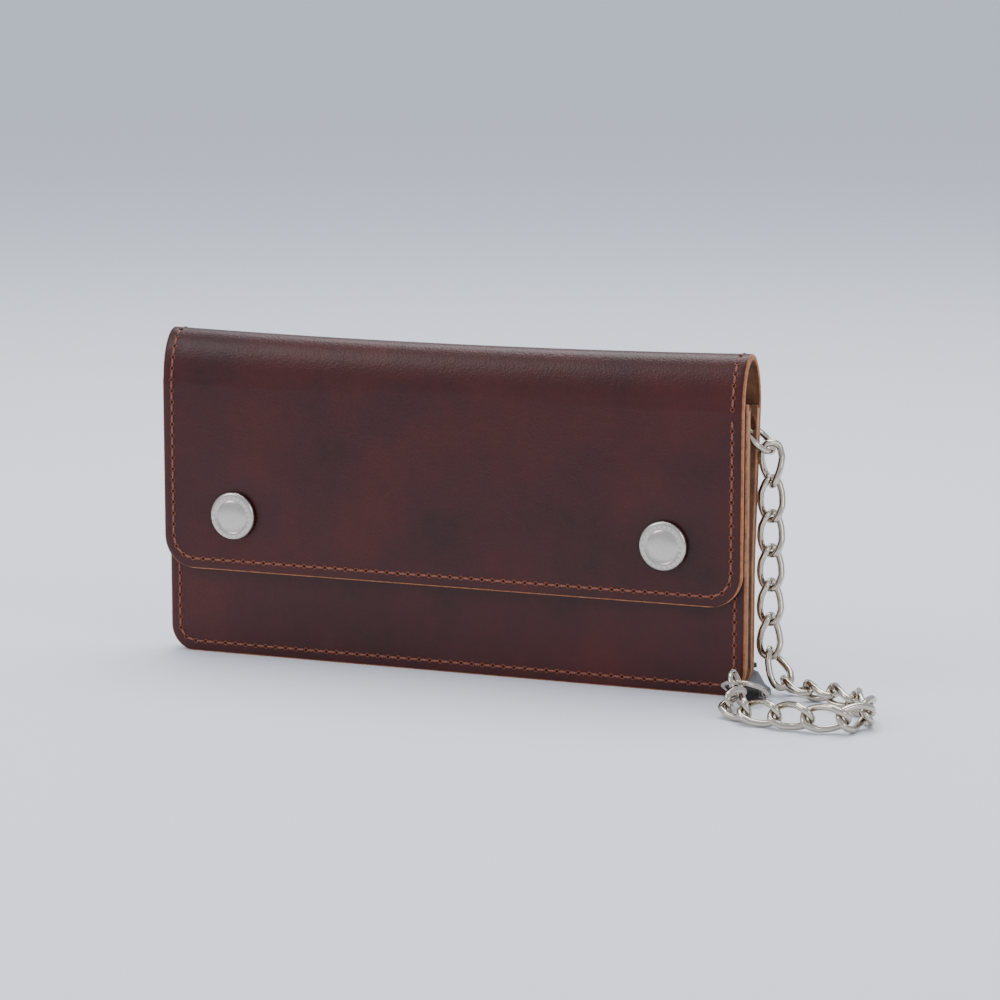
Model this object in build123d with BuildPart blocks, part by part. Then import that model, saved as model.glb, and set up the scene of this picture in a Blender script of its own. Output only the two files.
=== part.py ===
"""A long flap wallet in oxblood leather, with two snaps and a belt chain.

The wallet stands on its lower edge: X runs along its width, Y towards its back and Z up.
The origin is on the ground under the middle of the wallet. Every size is in millimetres.
"""
import os
from math import cos, pi, radians, sin, sqrt

from build123d import *

# The wallet
wallet_width = 190.5
wallet_height = 101.6
shell_leather = 1.8
lining_leather = 1.2
pocket_leather = 0.4
corner_radius = 8.0
flap_corner_radius = 10.0
flap_bottom = 27.0
fold_base = 86.0
front_face = -4.4
back_face = 4.7
flare_start = 40.0
back_face_at_fold = 8.6
flap_gap = 0.9

# The snaps
snap_spacing = 142.0
snap_height = 44.5
cap_diameter = 15.0
cap_height = 2.2
socket_diameter = 11.0
stud_diameter = 6.4

# The coin pocket's zipper
zip_length = 152.0
zip_height = 66.0
zip_plane = -0.22
slider_start = 71.0

# The belt chain and its rings
wire = 2.0
link_width = 8.3
link_pitch = 10.3
link_play = 0.3
link_twist = 45.0
link_fullness = 0.35
anchor_x = 91.0
anchor_z = 79.75
anchor_droop = 42.0
anchor_radius = 5.6
anchor_wire = 1.9
chain_start = (99.4, 5.9, 73.75)
end_ring_radius = 5.0
end_ring_place = (97.5, -17.8, 6.05)
end_ring_axis = (0.929, 0.140, 0.342)

# The black belt strap at the chain's far end
strap_ring_radius = 6.0
strap_ring_corner = 1.5
ring_wire = 1.5
strap_ring_x = 97.8
strap_fold_y = -7.2
strap_ring_slope = 26.0
strap_leather = 1.4
strap_neck_width = 7.4
strap_width = 20.0
loop_length = 46.0

half_width = wallet_width / 2
flare = (back_face_at_fold - back_face) / (fold_base - flare_start)
front_lining_face = front_face + shell_leather
front_lining_back = front_lining_face + 0.8
flap_back = front_face - flap_gap
flap_front = flap_back - 0.8 - shell_leather

os.makedirs("parts", exist_ok=True)


def save(piece, name):
    """Writes one finished piece as its own file."""
    piece.part.label = name
    export_step(piece.part, f"parts/{name}.step")
    return piece


def back_at(height, depth=0.0):
    """The back's outer face, or a layer that lies depth inside it, at a height."""
    return back_face - depth + flare * max(0.0, height - flare_start)


def front_sheet(front, thickness, bottom, top, width, radius):
    """An upright sheet parallel to the wallet's front, with rounded lower corners."""
    with BuildPart() as sheet:
        with BuildSketch(Plane.XZ.offset(-front - thickness)):
            with Locations((0, (bottom + top) / 2)):
                outline = Rectangle(width, top - bottom)
            fillet(outline.vertices().group_by(Axis.Y)[0], radius)
        extrude(amount=thickness)
    return sheet


def back_sheet(depth, thickness, bottom, top, width, radius):
    """A sheet that follows the back's flare, depth inside its outer face."""
    inner = depth + thickness
    with BuildPart() as sheet:
        with BuildSketch(Plane.YZ):
            with BuildLine():
                Polyline(
                    (back_at(bottom, depth), bottom),
                    (back_at(flare_start, depth), max(flare_start, bottom)),
                    (back_at(top, depth), top),
                    (back_at(top, inner), top),
                    (back_at(flare_start, inner), max(flare_start, bottom)),
                    (back_at(bottom, inner), bottom),
                    close=True,
                )
            make_face()
        extrude(amount=width / 2, both=True)
        if radius:
            fillet(sheet.edges().filter_by(Axis.Y).group_by(Axis.Z)[0], radius)
    return sheet


def punched(sheet, plane, places, radius, depth):
    """A copy of a sheet with round holes punched through it at the places."""
    with BuildPart() as copy:
        add(sheet.part)
        with BuildSketch(plane):
            with Locations(*places):
                Circle(radius)
        extrude(amount=depth, both=True, mode=Mode.SUBTRACT)
    return copy


# The back layers and the grommet that the chain's first ring hangs in
grommet_plane = Plane(
    origin=(anchor_x, back_at(anchor_z), anchor_z),
    x_dir=(1, 0, 0),
    z_dir=(0, 1, -flare),
)
stack = shell_leather + lining_leather + 0.7
grommet_hole = 2.1
grommet_barrel = 2.6
grommet_flange = 4.0


def cut_grommet_hole(sheet):
    """A copy of a layer with the grommet's hole punched through it."""
    return punched(sheet, grommet_plane, [(0, 0)], grommet_barrel, stack + 3)


back_panel = back_sheet(0, shell_leather, 0, fold_base, wallet_width, corner_radius)
save(cut_grommet_hole(back_panel), "back_panel")
back_lining = back_sheet(shell_leather, lining_leather, 0, fold_base - 1, wallet_width, corner_radius)
save(cut_grommet_hole(back_lining), "back_lining")

with BuildPart() as grommet:
    with BuildSketch(grommet_plane):
        Circle(grommet_flange)
        Circle(grommet_hole, mode=Mode.SUBTRACT)
    extrude(amount=0.5)
    with BuildSketch(grommet_plane):
        Circle(grommet_barrel)
        Circle(grommet_hole, mode=Mode.SUBTRACT)
    extrude(amount=-stack - 0.5)
save(grommet, "grommet")

with BuildPart() as grommet_washer:
    with BuildSketch(grommet_plane.offset(-stack)):
        Circle(grommet_flange)
        Circle(grommet_barrel, mode=Mode.SUBTRACT)
    extrude(amount=-0.5)
save(grommet_washer, "grommet_washer")

# The front: outer panel, its lining and the studs that the flap closes on
post_radius = 1.6
snap_places = [(-snap_spacing / 2, snap_height), (snap_spacing / 2, snap_height)]

front_panel = front_sheet(front_face, shell_leather, 0, 87, wallet_width, corner_radius)
save(punched(front_panel, Plane.XZ, snap_places, post_radius, 10), "front_panel")
front_lining = front_sheet(front_lining_face, 0.8, 0, 85, wallet_width, corner_radius)
save(punched(front_lining, Plane.XZ, snap_places, 5.0, 10), "front_lining")

with BuildPart() as snap_studs:
    with BuildSketch(Plane.XZ.offset(-front_face)):
        with Locations(*snap_places):
            Circle(5.0)
    extrude(amount=0.4)
    with BuildSketch(Plane.XZ.offset(-front_face + 0.4)):
        with Locations(*snap_places):
            Circle(stud_diameter / 2)
    extrude(amount=2.0)
    fillet(snap_studs.faces().sort_by(Axis.Y)[:2].edges(), 0.6)
save(snap_studs, "snap_studs")

with BuildPart() as snap_posts:
    with BuildSketch(Plane.XZ.offset(-front_lining_face - 0.6)):
        with Locations(*snap_places):
            Circle(4.8)
    extrude(amount=0.6)
    with BuildSketch(Plane.XZ.offset(-front_lining_face)):
        with Locations(*snap_places):
            Circle(post_radius)
    extrude(amount=shell_leather)
save(snap_posts, "snap_posts")

# The flap, its lining, and the caps and sockets that clamp them
flap = front_sheet(flap_front, shell_leather, flap_bottom, fold_base, wallet_width, flap_corner_radius)
save(punched(flap, Plane.XZ, snap_places, socket_diameter / 2, 20), "flap")
flap_lining = front_sheet(
    flap_back - 0.8, 0.8, flap_bottom + 1, fold_base - 1, wallet_width - 2, flap_corner_radius - 1
)
save(punched(flap_lining, Plane.XZ, snap_places, socket_diameter / 2, 20), "flap_lining")

with BuildPart() as snap_caps:
    with BuildSketch(Plane.XZ.offset(-flap_front)):
        with Locations(*snap_places):
            Circle(cap_diameter / 2)
    extrude(amount=cap_height)
    fillet(snap_caps.faces().sort_by(Axis.Y)[:2].edges(), 1.4)
    with BuildSketch(Plane.XZ.offset(-flap_front)):
        with Locations(*snap_places):
            Circle(6.8)
    extrude(amount=1.2, mode=Mode.SUBTRACT)
save(snap_caps, "snap_caps")

with BuildPart() as snap_sockets:
    with BuildSketch(Plane.XZ.offset(-flap_back)):
        with Locations(*snap_places):
            Circle(socket_diameter / 2)
            Circle(stud_diameter / 2 + 0.9, mode=Mode.SUBTRACT)
    extrude(amount=2.6)
    with BuildSketch(Plane.XZ.offset(-flap_back + 2.6)):
        with Locations(*snap_places):
            Circle(6.0)
    extrude(amount=0.8)
save(snap_sockets, "snap_sockets")

# The fold that carries the flap over the top
fold_middle = (back_face_at_fold + flap_front) / 2
fold_half = (back_face_at_fold - flap_front) / 2
fold_rise = wallet_height - fold_base
with BuildPart() as fold_strip:
    with BuildSketch(Plane.YZ):
        with Locations((fold_middle, fold_base)):
            Ellipse(fold_half, fold_rise)
            Ellipse(fold_half - shell_leather, fold_rise - shell_leather, mode=Mode.SUBTRACT)
            Rectangle(4 * fold_half, 2 * fold_rise, align=(Align.CENTER, Align.MAX), mode=Mode.SUBTRACT)
    extrude(amount=half_width, both=True)
save(fold_strip, "fold_strip")

# The side gussets: a fold of thin leather between the front lining and the back lining
gusset_leather = 0.7
gusset_depth = 13.0
gusset_lip = 2.8


def gusset_section(height):
    """The gusset's corners at a height, on the right side."""
    back = back_at(height, shell_leather + lining_leather)
    run = gusset_depth - gusset_lip
    drop = back - front_lining_back
    lean = sqrt(run**2 + drop**2)
    inner_back = run * gusset_leather * (1 + run / lean) / drop + gusset_leather * drop / lean
    inner_front = inner_back + run - 2 * run * gusset_leather / drop
    apex = half_width - gusset_depth
    return [
        (half_width, back),
        (apex, back),
        (half_width - gusset_lip, front_lining_back),
        (half_width, front_lining_back),
        (half_width, front_lining_back + gusset_leather),
        (apex + inner_front, front_lining_back + gusset_leather),
        (apex + inner_back, back - gusset_leather),
        (half_width, back - gusset_leather),
    ]


with BuildPart() as gusset_right:
    for height in (8, flare_start, fold_base):
        with BuildSketch(Plane.XY.offset(height)):
            with BuildLine():
                Polyline(*gusset_section(height), close=True)
            make_face()
    loft(ruled=True)
with BuildPart() as gusset_left:
    add(gusset_right.part)
    mirror(about=Plane.YZ)
    split(bisect_by=Plane.YZ, keep=Keep.BOTTOM)
save(cut_grommet_hole(gusset_right), "gusset_right")
save(gusset_left, "gusset_left")

# The card pockets on the back lining
pocket_width = 162.0
card_depth = shell_leather + lining_leather
save(back_sheet(card_depth, pocket_leather, 5, 82, pocket_width, 3), "card_panel")
for number, (bottom, top) in enumerate([(29, 72), (21, 61), (13, 50)], start=1):
    depth = card_depth + pocket_leather * number
    card_row = back_sheet(depth, pocket_leather, bottom, top, pocket_width, 0)
    with BuildPart() as card_pockets:
        add(card_row.part)
        Box(1.2, 40, 300, mode=Mode.SUBTRACT)
    save(card_pockets, f"card_pocket_{number}")

# The coin pocket with its zipper
zip_front = zip_plane - 0.3
save(front_sheet(zip_front, 0.6, 0, 60, pocket_width, 4), "coin_pocket_panel")
with BuildPart() as coin_pocket_top:
    with BuildSketch(Plane.XZ.offset(-zip_front - 0.6)):
        with Locations((0, 77)):
            Rectangle(pocket_width, 10)
    extrude(amount=0.6)
save(coin_pocket_top, "coin_pocket_top")

for name, low, high in (("zip_tape_lower", 60, 64.9), ("zip_tape_upper", 67.1, 72)):
    with BuildPart() as tape:
        with BuildSketch(Plane.XZ.offset(-zip_plane - 0.2)):
            with Locations((0, (low + high) / 2)):
                Rectangle(zip_length + 6, high - low)
        extrude(amount=0.4)
    save(tape, name)

with BuildPart() as zip_teeth:
    with BuildSketch(Plane.XZ.offset(-zip_plane - 0.5)):
        with Locations((0, zip_height)):
            with GridLocations(1, 1.4, 1, 2):
                Rectangle(zip_length, 0.8)
    extrude(amount=1.0)
save(zip_teeth, "zip_teeth")

with BuildPart() as zip_stops:
    with BuildSketch(Plane.XZ.offset(-zip_plane - 0.7)):
        with Locations((0, zip_height)):
            with GridLocations(zip_length + 2.4, 1, 2, 1):
                Rectangle(2.0, 2.0)
    extrude(amount=1.4)
save(zip_stops, "zip_stops")

slider_x = -slider_start
with BuildPart() as zip_slider:
    with BuildSketch(Plane.XZ.offset(-zip_plane - 1.2)):
        with Locations((slider_x, zip_height)):
            RectangleRounded(8, 7, 1.5)
    extrude(amount=2.4)
    with BuildSketch(Plane.YZ.offset(slider_x)):
        with Locations((zip_plane, zip_height)):
            Rectangle(1.4, 2.6)
            Rectangle(0.8, 7.2)
    extrude(amount=10, both=True, mode=Mode.SUBTRACT)
    with Locations((slider_x + 2.6, zip_plane, zip_height)):
        Box(1.6, 2.4, 0.4)
save(zip_slider, "zip_slider")

# The slider's pull tab, standing up from the slider
pull_foot = zip_plane + 1.9
with BuildPart() as zip_pull:
    with BuildSketch(Plane.XZ.offset(-pull_foot - 0.3)):
        with Locations((slider_x, zip_height)):
            Rectangle(3.0, 3.0)
        with Locations((slider_x, zip_height + 9.5)):
            RectangleRounded(4.6, 17, 2.0)
            with Locations((0, 5.0)):
                Circle(1.2, mode=Mode.SUBTRACT)
    extrude(amount=0.6)
save(zip_pull, "zip_pull")


def torus(plane, radius, thickness):
    """A ring of round wire lying in a plane."""
    with BuildPart() as ring:
        with BuildSketch(Plane(origin=plane.origin + plane.x_dir * radius, z_dir=plane.y_dir)):
            Circle(thickness / 2)
        revolve(axis=Axis(plane.origin, plane.z_dir))
    return ring


# The ring through the grommet, hanging down beside the wallet's edge
droop = Vector(cos(radians(anchor_droop)), 0, -sin(radians(anchor_droop)))
grommet_middle = Vector(anchor_x, back_at(anchor_z) - stack / 2, anchor_z)
anchor_plane = Plane(
    origin=grommet_middle + droop * anchor_radius,
    x_dir=droop,
    z_dir=droop.cross(Vector(0, 1, 0)),
)
save(torus(anchor_plane, anchor_radius, anchor_wire), "anchor_ring")

# One chain link: a closed loop of wire, twisted along its length
half_length = (link_pitch + wire + link_play) / 2
half_breadth = (link_width - wire) / 2


def link_point(turn):
    """A point of the link's centreline, a turn of the way round it."""
    angle = 2 * pi * turn
    along = half_length * cos(angle) * (1 + link_fullness * sin(angle) ** 2)
    aside = half_breadth * sin(angle)
    twist = radians(link_twist) * along / half_length
    return Vector(along, aside * cos(twist), aside * sin(twist))


def link_heading(turn):
    """The direction of the link's centreline, a turn of the way round it."""
    return (link_point(turn + 0.0001) - link_point(turn - 0.0001)).normalized()


with BuildPart() as link:
    for start in (0.25, 0.75):
        with BuildLine() as half_loop:
            Spline(
                *[link_point(start + step / 16) for step in range(9)],
                tangents=[link_heading(start), link_heading(start + 0.5)],
            )
        with BuildSketch(Plane(origin=half_loop.line @ 0, z_dir=half_loop.line % 0)):
            Circle(wire / 2)
        sweep()

# How the chain lies: the heading round Z, the rise and the roll of each link, in degrees
chain_lie = [
    (-12, -89, -90),
    (-67.5, -89, 0),
    (-63, -90, 0),
    (-57, -90, 0),
    (-51, -90, 0),
    (-44, -90, 0),
    (-37, -52.5, 0),
    (-34, 0.5, -18),
    (-31.5, 2.5, -37),
    (-35, 0, -60),
    (-48, -2, -84),
    (-74, -3.5, -95),
    (-113.5, -4.5, -93.5),
    (-170.5, -2.5, -91.5),
    (-188, -2.5, -82),
    (-195, -2, -71),
    (-220.5, -2, -65.5),
    (-262, -1.5, -65),
]


def unit_plane(heading, rise, roll):
    """The link's own directions: X along the link, Y across its middle."""
    along = Vector(
        cos(radians(rise)) * cos(radians(heading)),
        cos(radians(rise)) * sin(radians(heading)),
        sin(radians(rise)),
    )
    level = Vector(-sin(radians(heading)), cos(radians(heading)), 0)
    upright = along.cross(level)
    across = level * cos(radians(roll)) + upright * sin(radians(roll))
    return Plane(origin=(0, 0, 0), x_dir=across, z_dir=along)


def end_wires_meet(before, after):
    """The direction in which two linked links pull on each other."""
    far_wire = before.x_dir + before.y_dir
    near_wire = after.x_dir - after.y_dir
    pull = far_wire.cross(near_wire).normalized()
    if pull.dot(before.z_dir + after.z_dir) < 0:
        pull = pull * -1
    return pull


previous = None
for number, lie in enumerate(chain_lie, start=1):
    turned = unit_plane(*lie)
    if previous is None:
        middle = Vector(*chain_start) + turned.z_dir * (half_length - (wire + link_play) / 2)
    else:
        pull = end_wires_meet(previous, turned)
        reach = (previous.z_dir + turned.z_dir) * half_length
        middle = middle + reach - pull * (wire + link_play)
    placed_plane = Plane(origin=middle, x_dir=turned.z_dir, z_dir=turned.y_dir)
    with BuildPart() as placed_link:
        with Locations(placed_plane.location):
            add(link.part)
    save(placed_link, f"link_{number:02d}")
    previous = turned

# The plain ring at the chain's end and the strap's own ring
end_ring_plane = Plane(origin=end_ring_place, z_dir=end_ring_axis)
save(torus(end_ring_plane, end_ring_radius, ring_wire), "end_ring")

slope = radians(strap_ring_slope)
strap_wire_z = strap_leather + 0.1 + ring_wire / 2
strap_ring_plane = Plane(
    origin=(
        strap_ring_x,
        strap_fold_y - strap_ring_radius * cos(slope),
        strap_wire_z + strap_ring_radius * sin(slope),
    ),
    x_dir=(1, 0, 0),
    z_dir=(0, sin(slope), cos(slope)),
)
with BuildPart() as strap_ring:
    with BuildLine(strap_ring_plane):
        corner_start = strap_ring_radius - strap_ring_corner
        bar = Line((-corner_start, strap_ring_radius), (corner_start, strap_ring_radius))
        RadiusArc(bar @ 1, (strap_ring_radius, corner_start), strap_ring_corner)
        Line((strap_ring_radius, corner_start), (strap_ring_radius, 0))
        RadiusArc((strap_ring_radius, 0), (-strap_ring_radius, 0), strap_ring_radius)
        Line((-strap_ring_radius, 0), (-strap_ring_radius, corner_start))
        RadiusArc((-strap_ring_radius, corner_start), bar @ 0, strap_ring_corner)
    with BuildSketch(Plane(origin=bar @ 0.5, z_dir=bar % 0.5)):
        Circle(ring_wire / 2)
    sweep()
save(strap_ring, "strap_ring")

# The belt strap: a shaped strip on the ground behind the wallet, folded over its ring
neck_side = strap_neck_width / 2
fold_outer = strap_wire_z
fold_inner = strap_wire_z - strap_leather
loop_plane = Plane(origin=(86, 16, 0), x_dir=(-1, 1, 0), z_dir=(0, 0, 1))
loop_start = 6.0
loop_end = loop_start + loop_length
loop_corners = [
    loop_plane.from_local_coords((loop_start, -strap_width / 2, 0)),
    loop_plane.from_local_coords((loop_end, -strap_width / 2, 0)),
    loop_plane.from_local_coords((loop_end, strap_width / 2, 0)),
    loop_plane.from_local_coords((loop_start, strap_width / 2, 0)),
]
snap_reach = 13.0
loop_gap = 1.0

with BuildPart() as belt_strap:
    with BuildSketch() as outline:
        with BuildLine():
            Polyline(
                (strap_ring_x - neck_side, strap_fold_y),
                (strap_ring_x + neck_side, strap_fold_y),
                (strap_ring_x + neck_side - 0.6, 4.0),
                (strap_ring_x + neck_side - 5, 11.0),
                *[(corner.X, corner.Y) for corner in loop_corners],
                (strap_ring_x - neck_side - 3.2, 9.5),
                (strap_ring_x - neck_side - 0.5, 5.6),
                close=True,
            )
        make_face()
        fillet(outline.vertices().sort_by(Axis.Y)[2:], 2.0)
    extrude(amount=strap_leather)
    with BuildSketch(Plane.YZ.offset(strap_ring_x)):
        with Locations((strap_fold_y, strap_wire_z)):
            Circle(fold_outer)
            Circle(fold_inner, mode=Mode.SUBTRACT)
            Rectangle(10, 10, align=(Align.MIN, Align.CENTER), mode=Mode.SUBTRACT)
        with BuildLine():
            Polyline(
                (strap_fold_y, strap_wire_z + fold_inner),
                (strap_fold_y, strap_wire_z + fold_outer),
                (strap_fold_y + 3.5, 2 * strap_leather),
                (strap_fold_y + 8, 2 * strap_leather),
                (strap_fold_y + 8, strap_leather),
                (strap_fold_y + 3.4, strap_leather),
                close=True,
            )
        make_face()
    extrude(amount=neck_side, both=True)
    with BuildSketch(loop_plane):
        with Locations((snap_reach, 0)):
            Circle(1.2)
    extrude(amount=strap_leather, mode=Mode.SUBTRACT)
    with BuildSketch(loop_plane):
        with Locations((snap_reach, 0)):
            Circle(3.6)
    extrude(amount=0.4, mode=Mode.SUBTRACT)
save(belt_strap, "belt_strap")

with BuildPart() as loop_stud:
    with BuildSketch(loop_plane):
        with Locations((snap_reach, 0)):
            Circle(3.6)
    extrude(amount=0.4)
    with BuildSketch(loop_plane):
        with Locations((snap_reach, 0)):
            Circle(1.2)
    extrude(amount=strap_leather)
    with BuildSketch(loop_plane.offset(strap_leather)):
        with Locations((snap_reach, 0)):
            Circle(4.0)
    extrude(amount=0.3)
    with BuildSketch(loop_plane.offset(strap_leather + 0.3)):
        with Locations((snap_reach, 0)):
            Circle(2.2)
    extrude(amount=1.5)
    fillet(loop_stud.faces().sort_by(Axis.Z)[-1].edges(), 0.5)
save(loop_stud, "loop_stud")

flap_floor = strap_leather + loop_gap
with BuildPart() as belt_loop:
    with BuildSketch(loop_plane.offset(flap_floor)):
        with Locations((loop_start + 1, 0)):
            tongue = Rectangle(
                loop_length - 1, strap_width, align=(Align.MIN, Align.CENTER)
            )
        fillet(tongue.vertices().group_by(Axis((0, 0, 0), (-1, 1, 0)))[0], 4.0)
        with Locations((snap_reach, 0)):
            Circle(4.0, mode=Mode.SUBTRACT)
    extrude(amount=strap_leather)
save(belt_loop, "belt_loop")

with BuildPart() as loop_cap:
    with BuildSketch(loop_plane.offset(flap_floor + strap_leather)):
        with Locations((snap_reach, 0)):
            Circle(6.25)
    extrude(amount=1.6)
    fillet(loop_cap.faces().sort_by(Axis.Z)[-1].edges(), 1.0)
save(loop_cap, "loop_cap")

with BuildPart() as loop_socket:
    with BuildSketch(loop_plane.offset(flap_floor - 0.3)):
        with Locations((snap_reach, 0)):
            Circle(4.0)
            Circle(2.9, mode=Mode.SUBTRACT)
    extrude(amount=strap_leather + 0.3)
save(loop_socket, "loop_socket")

with BuildPart() as loop_bend:
    with BuildSketch(Plane(origin=loop_plane.origin, x_dir=(-1, 1, 0), z_dir=(-1, -1, 0))):
        with Locations((loop_end, -strap_leather - loop_gap / 2)):
            Circle(strap_leather + loop_gap / 2)
            Circle(loop_gap / 2, mode=Mode.SUBTRACT)
            Rectangle(10, 10, align=(Align.MAX, Align.CENTER), mode=Mode.SUBTRACT)
    extrude(amount=strap_width / 2, both=True)
save(loop_bend, "loop_bend")
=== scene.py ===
"""A long flap wallet in oxblood leather, with two snaps and a belt chain, on a pale studio floor."""

from math import cos, exp, pi, radians, sin, sqrt

import bmesh
import bpy
from mathutils import Matrix, Vector


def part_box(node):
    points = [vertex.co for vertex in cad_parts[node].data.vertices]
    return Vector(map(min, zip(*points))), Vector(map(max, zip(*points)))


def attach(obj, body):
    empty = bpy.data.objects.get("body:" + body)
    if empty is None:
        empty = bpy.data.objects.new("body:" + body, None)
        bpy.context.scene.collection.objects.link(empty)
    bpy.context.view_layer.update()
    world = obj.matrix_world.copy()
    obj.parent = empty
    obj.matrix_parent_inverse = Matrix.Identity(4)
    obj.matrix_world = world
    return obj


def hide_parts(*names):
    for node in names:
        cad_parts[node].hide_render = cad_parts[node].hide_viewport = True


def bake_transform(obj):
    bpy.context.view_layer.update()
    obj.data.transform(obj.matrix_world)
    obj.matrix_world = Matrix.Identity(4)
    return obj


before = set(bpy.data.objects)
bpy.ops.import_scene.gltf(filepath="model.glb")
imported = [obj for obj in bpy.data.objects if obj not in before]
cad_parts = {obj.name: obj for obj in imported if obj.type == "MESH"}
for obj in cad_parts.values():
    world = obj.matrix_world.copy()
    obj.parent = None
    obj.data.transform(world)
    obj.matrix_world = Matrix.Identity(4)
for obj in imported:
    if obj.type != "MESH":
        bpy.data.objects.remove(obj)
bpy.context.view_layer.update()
# Lengths are in millimetres, and are multiplied by this where they go into a mesh
mm = 0.001

# Camera, at a standing viewer's angle: a little right of the front and a little above
yaw, pitch = radians(22.9), radians(9.0)
back = Vector((sin(yaw) * cos(pitch), -cos(yaw) * cos(pitch), sin(pitch)))
right = Vector((cos(yaw), sin(yaw), 0))
target = right * 0.014 + Vector((0, 0, 0.0526))
camera_data = bpy.data.cameras.new("camera")
camera_data.lens = 129.6
camera_data.sensor_width = 36
camera_data.clip_start = 0.05
camera = bpy.data.objects.new("camera", camera_data)
camera.location = target + back * 1.095
camera.rotation_euler = back.to_track_quat("Z", "Y").to_euler()
bpy.context.scene.collection.objects.link(camera)
bpy.context.scene.camera = camera


def linear(hex_colour):
    """A display colour as linear red, green, blue and alpha."""
    parts = [int(hex_colour[i:i + 2], 16) / 255 for i in (0, 2, 4)]
    return [c / 12.92 if c <= 0.04045 else ((c + 0.055) / 1.055) ** 2.4 for c in parts] + [1]


def node(tree, kind, links=None, stops=(), **settings):
    """Adds one shader node with its settings, its links and, on a ramp, its (place, colour) stops."""
    made = tree.nodes.new(kind)
    for key, value in settings.items():
        if hasattr(made, key):
            setattr(made, key, value)
        else:
            made.inputs[key.replace("_", " ")].default_value = value
    for key, socket in (links or {}).items():
        tree.links.new(socket, made.inputs[key])
    if stops:
        for element, (place, colour) in zip(made.color_ramp.elements, stops):
            element.position = place
            element.color = linear(colour)
    return made


def finish_material(name):
    """A new material: its tree and its main shader."""
    material = bpy.data.materials.new(name)
    material.use_nodes = True
    tree = material.node_tree
    return material, tree, tree.nodes["Principled BSDF"]


def smooth_leather(name, dark, light, roughness, coat):
    """Waxed pull-up hide: colour drifts in clouds, fine pores and creases break up the sheen."""
    material, tree, shader = finish_material(name)
    place = node(tree, "ShaderNodeTexCoord").outputs["Object"]
    clouds = node(tree, "ShaderNodeTexNoise", {"Vector": place}, Scale=0.032 / mm, Detail=5, Roughness=0.6)
    colour = node(tree, "ShaderNodeValToRGB", {"Fac": clouds.outputs["Fac"]}, [(0.32, dark), (0.68, light)])
    tree.links.new(colour.outputs["Color"], shader.inputs["Base Color"])
    pores = node(tree, "ShaderNodeTexVoronoi", {"Vector": place}, Scale=1.4 / mm)
    grain = node(tree, "ShaderNodeTexNoise", {"Vector": place}, Scale=0.42 / mm, Detail=6, Roughness=0.65)
    creases = node(tree, "ShaderNodeTexNoise", {"Vector": place}, Scale=0.055 / mm, Detail=3)
    fine = node(tree, "ShaderNodeMath", {0: pores.outputs["Distance"], 1: grain.outputs["Fac"]},
                operation="MULTIPLY")
    height = node(tree, "ShaderNodeMath", {0: fine.outputs[0], 1: creases.outputs["Fac"]}, operation="ADD")
    relief = node(tree, "ShaderNodeBump", {"Height": height.outputs[0]}, Strength=0.55, Distance=0.22 * mm)
    tree.links.new(relief.outputs["Normal"], shader.inputs["Normal"])
    rough = node(tree, "ShaderNodeMapRange", {"Value": grain.outputs["Fac"]},
                 To_Min=roughness - 0.07, To_Max=roughness + 0.09)
    tree.links.new(rough.outputs["Result"], shader.inputs["Roughness"])
    shader.inputs["Coat Weight"].default_value = coat
    shader.inputs["Coat Roughness"].default_value = 0.34
    shader.inputs["Specular IOR Level"].default_value = 0.3
    return material


def raw_leather(name, dark, light, fibres_per_mm=0.26):
    """Undyed cut edge or flesh side: tan fibres with small dark flecks, no shine."""
    material, tree, shader = finish_material(name)
    place = node(tree, "ShaderNodeTexCoord").outputs["Object"]
    fibres = node(tree, "ShaderNodeTexNoise", {"Vector": place}, Scale=fibres_per_mm / mm, Detail=7,
                  Roughness=0.75)
    colour = node(tree, "ShaderNodeValToRGB", {"Fac": fibres.outputs["Fac"]}, [(0.3, dark), (0.62, light)])
    tree.links.new(colour.outputs["Color"], shader.inputs["Base Color"])
    relief = node(tree, "ShaderNodeBump", {"Height": fibres.outputs["Fac"]}, Strength=0.8, Distance=0.3 * mm)
    tree.links.new(relief.outputs["Normal"], shader.inputs["Normal"])
    shader.inputs["Roughness"].default_value = 0.85
    shader.inputs["Sheen Weight"].default_value = 0.15
    return material


def nickel(name, colour, roughness):
    """Nickel plate: warm grey metal, its shine dulled by faint handling marks."""
    material, tree, shader = finish_material(name)
    place = node(tree, "ShaderNodeTexCoord").outputs["Object"]
    marks = node(tree, "ShaderNodeTexNoise", {"Vector": place}, Scale=0.3 / mm, Detail=4)
    rough = node(tree, "ShaderNodeMapRange", {"Value": marks.outputs["Fac"]},
                 To_Min=roughness * 0.7, To_Max=roughness * 1.4)
    tree.links.new(rough.outputs["Result"], shader.inputs["Roughness"])
    shader.inputs["Base Color"].default_value = linear(colour)
    shader.inputs["Metallic"].default_value = 1.0
    return material


def plain(name, colour, roughness):
    """One even colour: the painted shade inside a punched hole, the zipper tape or the floor."""
    material, tree, shader = finish_material(name)
    shader.inputs["Base Color"].default_value = linear(colour)
    shader.inputs["Roughness"].default_value = roughness
    return material


def thread_material():
    """Waxed copper-brown thread of one colour: slanting bands of painted highlight and painted shade stand for
    light on its twist.
    """
    material, tree, shader = finish_material("waxed copper thread")
    place = node(tree, "ShaderNodeTexCoord").outputs["Object"]
    # Painted highlight on the twist's ridges and painted shade in its grooves, in diagonal bands
    twist_shading = node(tree, "ShaderNodeTexWave", {"Vector": place}, Scale=0.7 / mm, Distortion=1.0,
                 bands_direction="DIAGONAL")
    colour = node(tree, "ShaderNodeValToRGB", {"Fac": twist_shading.outputs["Fac"]}, [(0.1, "5c2a1c"), (0.8, "9a5a44")])
    tree.links.new(colour.outputs["Color"], shader.inputs["Base Color"])
    shader.inputs["Roughness"].default_value = 0.5
    return material


# Waxed shell hide: deep burgundy with a soft sheen
oxblood = smooth_leather("oxblood pull-up leather", "2b0706", "430f0c", 0.36, 0.1)
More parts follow.
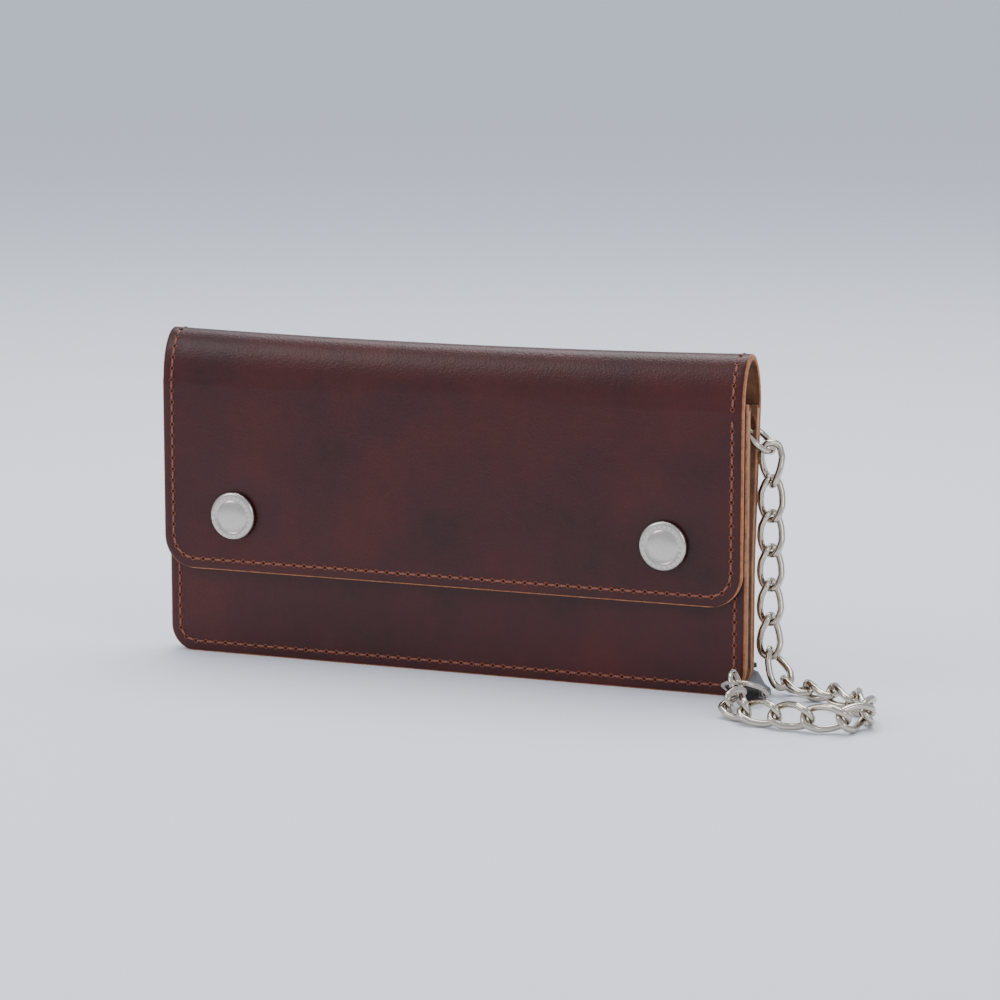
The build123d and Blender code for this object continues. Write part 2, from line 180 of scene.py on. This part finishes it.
# Strap hide: near black, with the same soft sheen
black_hide = smooth_leather("black strap leather", "0c0b0b", "171515", 0.38, 0.2)
# Undyed edge of the shell: a thin rusty line round each panel
cut_edge = raw_leather("tan cut edge", "6e3518", "b5713c", 0.52)
# Inner side of the hide: matt brown and slightly hairy
flesh_side = raw_leather("brown flesh side", "5a3420", "8a5a3a")
# Vegetable-tanned lining: pale and matt
lining_hide = raw_leather("natural lining leather", "8a5c38", "b98a5e")
# Barrel-plated chain and rings: bright, with sharp dark reflections
bright_nickel = nickel("polished nickel", "bfb6a8", 0.13)
# Brushed snap caps: a softer shine than the chain's
snap_nickel = nickel("satin nickel", "c2bbb2", 0.25)
thread = thread_material()
# Painted shade inside a stitch hole, as a near-black disc, and the raw fibres pushed up round it
painted_hole_shade = plain("punched hole", "1a0705", 0.9)
hole_rust = raw_leather("punched hole's raw edge", "6a2e17", "a3542c", 0.9)
# Woven tape, too fine for its threads to show: even and matt
zip_cloth = plain("black zipper tape", "141110", 0.8)


def new_piece(name, bm, materials, body, *nodes):
    """Makes an object from a mesh being edited; it rides a body and stands for CAD nodes."""
    bmesh.ops.recalc_face_normals(bm, faces=bm.faces)
    mesh = bpy.data.meshes.new(name)
    bm.to_mesh(mesh)
    bm.free()
    for polygon in mesh.polygons:
        polygon.use_smooth = True
    for material in materials:
        mesh.materials.append(material)
    piece = bpy.data.objects.new(name, mesh)
    bpy.context.scene.collection.objects.link(piece)
    if body:
        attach(piece, body)
    if nodes:
        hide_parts(*nodes)
    return piece


def node_box(name):
    """A CAD node's lowest and highest corner, in millimetres."""
    low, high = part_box(name)
    return low / mm, high / mm


flap_low, flap_high = node_box("flap")
front_low, front_high = node_box("front_panel")
back_low, back_high = node_box("back_panel")
fold_low, fold_high = node_box("fold_strip")
half_width = flap_high.x
leather = flap_high.y - flap_low.y
fold_base = flap_high.z
fold_middle = (fold_low.y + fold_high.y) / 2
fold_half = (fold_high.y - fold_low.y) / 2
fold_rise = fold_high.z - fold_base
snap_low, snap_high = node_box("snap_caps")
snap_z = (snap_low.z + snap_high.z) / 2
cap_radius = (snap_high.z - snap_low.z) / 2
snap_x = snap_high.x - cap_radius
flap_corner = 10
body_corner = 8
back_face = back_low.y + leather
flare_start = 40
stitch_inset = 3.2
stitch_pitch = 3.5


def sag(x):
    """How far the top fold has sunk between its ends."""
    deepest = 1.3
    return deepest * max(0.0, 1 - (x / half_width) ** 2)


def pressed(x, z):
    """How far the flap is drawn in round its snaps."""
    dent, dent_spread, bow = 0.55, 160, 0.25
    near = min((x - snap_x) ** 2, (x + snap_x) ** 2) + (z - snap_z) ** 2
    return dent * exp(-near / dent_spread) - bow * sin(pi * x / (2 * half_width)) ** 2


def flap_section(way):
    """The outer face's path from the flap's lower edge over the fold, by distance."""
    straight = fold_base - flap_low.z
    if way <= straight:
        return flap_low.y, flap_low.z + way
    angle = pi * (1 - (way - straight) / fold_length)
    return fold_middle + fold_half * cos(angle), fold_base + fold_rise * sin(angle)


# The fold's length: a half ellipse, measured in short steps
fold_steps = [pi * step / 200 for step in range(201)]
fold_points = [Vector((fold_half * cos(angle), fold_rise * sin(angle))) for angle in fold_steps]
fold_length = sum((b - a).length for a, b in zip(fold_points, fold_points[1:]))


def back_section(way):
    """The back panel's outer face from its lower edge to the fold."""
    slant = max(0.0, way - flare_start) * (back_high.y - back_face) / (fold_base - flare_start)
    return back_face + slant, way


def sheet_piece(name, section, length, half, corner, thickness, materials, body, nodes,
                shape=None, columns=150, rows=70, inward=1, edge_band=0.35):
    """A leather sheet: a grid laid along a section, given thickness and softened cut edges."""
    edge_ease = 0.25
    bm = bmesh.new()
    bmesh.ops.create_grid(bm, x_segments=columns, y_segments=rows, size=1)
    ways = [0, edge_band]
    ways += [corner * (1 - cos(pi / 2 * step / 10)) for step in range(3, 11)] if corner else []
    first, last = ways[-1], length - edge_band
    count = rows - len(ways)
    ways += [first + (last - first) * step / count for step in range(1, count + 1)] + [length]
    for vertex in bm.verts:
        row = round((vertex.co.y + 1) / 2 * rows)
        column = round((vertex.co.x + 1) / 2 * columns)
        way = ways[row]
        short = max(0.0, corner - way)
        reach = half - corner + sqrt(max(0.0, corner**2 - short**2)) if corner else half
        span = reach - edge_band
        x = span * (2 * (column - 1) / (columns - 2) - 1)
        if column in (0, columns):
            x = reach if column else -reach
        y, z = section(way)
        if shape:
            y, z = shape(x, y, z)
        vertex.co = Vector((x, y, z)) * mm
    bmesh.ops.recalc_face_normals(bm, faces=bm.faces)
    if sum(f.normal.y for f in bm.faces) * inward > 0:
        bmesh.ops.reverse_faces(bm, faces=bm.faces)
    bm.normal_update()
    grain = list(bm.faces)
    border = {v for e in bm.edges if len(e.link_faces) == 1 for v in e.verts}
    band = {f for f in grain if any(v in border for v in f.verts)}
    for vertex, shift in [(v, v.normal * (-edge_ease * mm)) for v in border]:
        vertex.co += shift
    smooth_faces = set(grain) - band
    made = bmesh.ops.solidify(bm, geom=grain, thickness=(thickness - edge_ease) * mm)
    inner = {g for g in made["geom"] if isinstance(g, bmesh.types.BMFace)}
    for face in bm.faces:
        if face in inner:
            face.material_index = 2
        else:
            face.material_index = 0 if face in smooth_faces else 1
    return new_piece(name, bm, materials, body, *nodes)


shell_materials = [oxblood, cut_edge, flesh_side]


def flap_shape(x, y, z):
    """The flap as it hangs: sunk along the top, drawn in at the snaps."""
    sag_start = 60
    lift = max(0.0, (z - sag_start) / (fold_high.z - sag_start))
    z = z - sag(x) * lift
    if y < 0 and z < fold_base:
        y = y + pressed(x, z)
    return y, z


flap_way = fold_base - flap_low.z + fold_length
flap_piece = sheet_piece("outer_flap", flap_section, flap_way, half_width, flap_corner, leather,
                         shell_materials, None, [], flap_shape, rows=110)
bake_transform(flap_piece)
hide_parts("flap", "fold_strip")

sheet_piece("front_pocket_panel", lambda way: (front_low.y, front_low.z + way),
            front_high.z - front_low.z, half_width, body_corner, leather, shell_materials, "wallet",
            ["front_panel"])
sheet_piece("back_leather", back_section, fold_base, half_width, body_corner, leather, shell_materials,
            "wallet", ["back_panel"], inward=-1)

# Pieces that keep their shape and only get a finish
for name, material in (
    ("back_lining", lining_hide), ("front_lining", lining_hide), ("gusset_right", flesh_side),
    ("gusset_left", flesh_side), ("flap_lining", flesh_side), ("card_panel", lining_hide),
    ("card_pocket_1", lining_hide), ("card_pocket_2", lining_hide), ("card_pocket_3", lining_hide),
    ("coin_pocket_panel", lining_hide), ("coin_pocket_top", lining_hide),
    ("zip_tape_lower", zip_cloth), ("zip_tape_upper", zip_cloth), ("belt_strap", black_hide),
    ("belt_loop", black_hide), ("loop_bend", black_hide),
):
    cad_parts[name].data.materials.clear()
    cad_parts[name].data.materials.append(material)
for name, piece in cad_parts.items():
    if name.startswith(("link_", "zip_teeth", "zip_stops", "zip_slider", "zip_pull", "anchor", "end_ring",
                        "strap_ring", "grommet", "loop_cap", "loop_s", "snap_s", "snap_p")):
        piece.data.materials.clear()
        piece.data.materials.append(bright_nickel)


def lathe(profile, centre, steps=64):
    """A mesh turned from (radius, height) points round the Y axis, heights towards the viewer."""
    bm = bmesh.new()
    verts = [bm.verts.new((centre.x + r, centre.y - h, centre.z)) for r, h in profile]
    edges = [bm.edges.new(pair) for pair in zip(verts, verts[1:])]
    bmesh.ops.spin(bm, geom=verts + edges, cent=centre, axis=(0, 1, 0), angle=2 * pi, steps=steps,
                   use_merge=True)
    bmesh.ops.remove_doubles(bm, verts=bm.verts, dist=1e-6)
    return bm


# Snap caps: a flat rim with even marks round a shallow dome
cap_face = snap_high.y
for side, cap_x in (("left", -snap_x), ("right", snap_x)):
    r = cap_radius
    profile = [(0, 1.75), (1.5, 1.72), (3, 1.6), (4.3, 1.38), (4.8, 1.18), (5.0, 1.0), (5.2, 1.18),
               (5.6, 1.32), (6.4, 1.34), (7.0, 1.2), (7.35, 0.85), (r, 0.4), (r, 0.0), (7.2, -0.25), (0, -0.25)]
    centre = Vector((cap_x, cap_face - 0.5, snap_z)) * mm
    bm = lathe([(a * mm, b * mm) for a, b in profile], centre)
    for number in range(24):
        angle = 2 * pi * number / 24
        spot = centre + Vector((6.05 * cos(angle), -1.33, 6.05 * sin(angle))) * mm
        rim_mark = Matrix.Diagonal((0.9, 0.16, 0.34, 1))
        turn = Matrix.Translation(spot) @ Matrix.Rotation(-angle, 4, "Y") @ rim_mark
        bmesh.ops.create_cube(bm, size=mm, matrix=turn)
    new_piece(f"{side}_snap_cap", bm, [snap_nickel], "flap", *(["snap_caps"] if side == "left" else []))


def add_stitches(bm, path, out_of):
    """Lays stitches, each between two punched holes, along a path; out_of gives the way out."""
    stitch_lift = 0.12
    stitch_size = (1.32, 0.4, 0.3, 1)
    raw_rim = (0.72, 0.05, 2)
    # The hole disc is painted shade: a near-black spot for the shaded inside of the punched hole
    hole = (0.5, 0.08, 1)
    places = []
    left = 0.0
    for a, b in zip(path, path[1:]):
        span = (b - a).length
        while left <= span:
            places.append(a + (b - a) * (left / span))
            left += stitch_pitch
        left -= span
    for a, b in zip(places, places[1:]):
        along = (b - a).normalized()
        out = out_of((a + b) / 2)
        side = along.cross(out).normalized()
        out = side.cross(along).normalized()
        basis = Matrix((along, side, out)).transposed().to_4x4()
        middle = (a + b) / 2
        stitch = Matrix.Translation((middle + out * stitch_lift) * mm) @ basis @ Matrix.Diagonal(stitch_size)
        made = bmesh.ops.create_uvsphere(bm, u_segments=8, v_segments=5, radius=mm, matrix=stitch)
        for vertex in made["verts"]:
            for face in vertex.link_faces:
                face.material_index = 0
        for size, lift, index in (raw_rim, hole):
            disc = Matrix.Translation((a + out * lift) * mm) @ basis
            made = bmesh.ops.create_circle(bm, cap_ends=True, segments=10, radius=size * mm, matrix=disc)
            for vertex in made["verts"]:
                for face in vertex.link_faces:
                    face.material_index = index


def rounded_path(half, low, high, corner, depth, surface):
    """A stitch line: down the left edge, along the bottom and up the right edge."""
    points = []
    reach, base, radius = half - depth, low + depth, max(corner - depth, 1)
    for step in range(0, 41):
        points.append((-reach, high + (base + radius - high) * step / 40))
    for step in range(1, 13):
        angle = pi + pi / 2 * step / 12
        points.append((-reach + radius + radius * cos(angle), base + radius + radius * sin(angle)))
    for step in range(1, 81):
        points.append((-reach + radius + 2 * (reach - radius) * step / 80, base))
    for step in range(1, 13):
        angle = -pi / 2 + pi / 2 * step / 12
        points.append((reach - radius + radius * cos(angle), base + radius + radius * sin(angle)))
    for step in range(1, 41):
        points.append((reach, base + radius + (high - base - radius) * step / 40))
    return [surface(x, z) for x, z in points]


def flap_surface(x, z):
    """The flap's outer face at a place."""
    y, height = flap_shape(x, flap_low.y, z)
    return Vector((x, y, height))


bm = bmesh.new()
add_stitches(bm, rounded_path(half_width, flap_low.z, fold_base, flap_corner, stitch_inset, flap_surface),
             lambda place: Vector((0, -1, 0)))
new_piece("flap_stitching", bm, [thread, painted_hole_shade, hole_rust], "flap")


def fold_outward(place):
    """The way out of the top fold, a half ellipse, at a place."""
    rise = max(0.001, place.z - fold_base)
    return Vector((0, (place.y - fold_middle) / fold_half**2, rise / fold_rise**2)).normalized()


bm = bmesh.new()
for side in (-1, 1):
    x = side * (half_width - stitch_inset)
    path = []
    for step in range(0, 61):
        y, z = flap_section(fold_base - flap_low.z + fold_length * step / 60)
        y, z = flap_shape(x, y, z)
        path.append(Vector((x, y, z)))
    add_stitches(bm, path, fold_outward)
fold_stitches = new_piece("fold_stitching", bm, [thread, painted_hole_shade, hole_rust], None)
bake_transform(fold_stitches)


def front_surface(x, z):
    """The front panel's outer face at a place."""
    return Vector((x, front_low.y, z))


def back_surface(x, z):
    """The back panel's outer face at a place."""
    return Vector((x, back_section(z)[0], z))


bm = bmesh.new()
front_stitch_top = 84
add_stitches(bm, rounded_path(half_width, 0, front_stitch_top, body_corner, stitch_inset, front_surface),
             lambda place: Vector((0, -1, 0)))
add_stitches(bm, rounded_path(half_width, 0, fold_base, body_corner, stitch_inset, back_surface),
             lambda place: Vector((0, 1, 0)))
new_piece("body_stitching", bm, [thread, painted_hole_shade, hole_rust], "wallet")

# Studio: a plain pale floor, a pale sky and soft lights
bm = bmesh.new()
bmesh.ops.create_grid(bm, x_segments=1, y_segments=1, size=150)
floor = new_piece("studio_floor", bm, [plain("pale studio floor", "e6e9f0", 0.8)], None)

world = bpy.data.worlds.new("studio")
bpy.context.scene.world = world
world.use_nodes = True
world.node_tree.nodes["Background"].inputs["Color"].default_value = linear("d5dbe8")
world.node_tree.nodes["Background"].inputs["Strength"].default_value = 1.12


def soft_light(name, place, size, power):
    """A square soft box aimed at the object."""
    lamp = bpy.data.lights.new(name, "AREA")
    lamp.shape = "SQUARE"
    lamp.size = size
    lamp.energy = power
    holder = bpy.data.objects.new(name, lamp)
    holder.location = place
    holder.rotation_euler = (Vector(place) - Vector((0, 0, 0.05))).to_track_quat("Z", "Y").to_euler()
    bpy.context.scene.collection.objects.link(holder)


soft_light("overhead_light", (-0.1, 0.35, 1.25), 1.0, 17)
soft_light("left_light", (-0.9, -0.9, 1.1), 0.7, 6)
soft_light("right_light", (1.3, -0.7, 0.7), 0.6, 4)
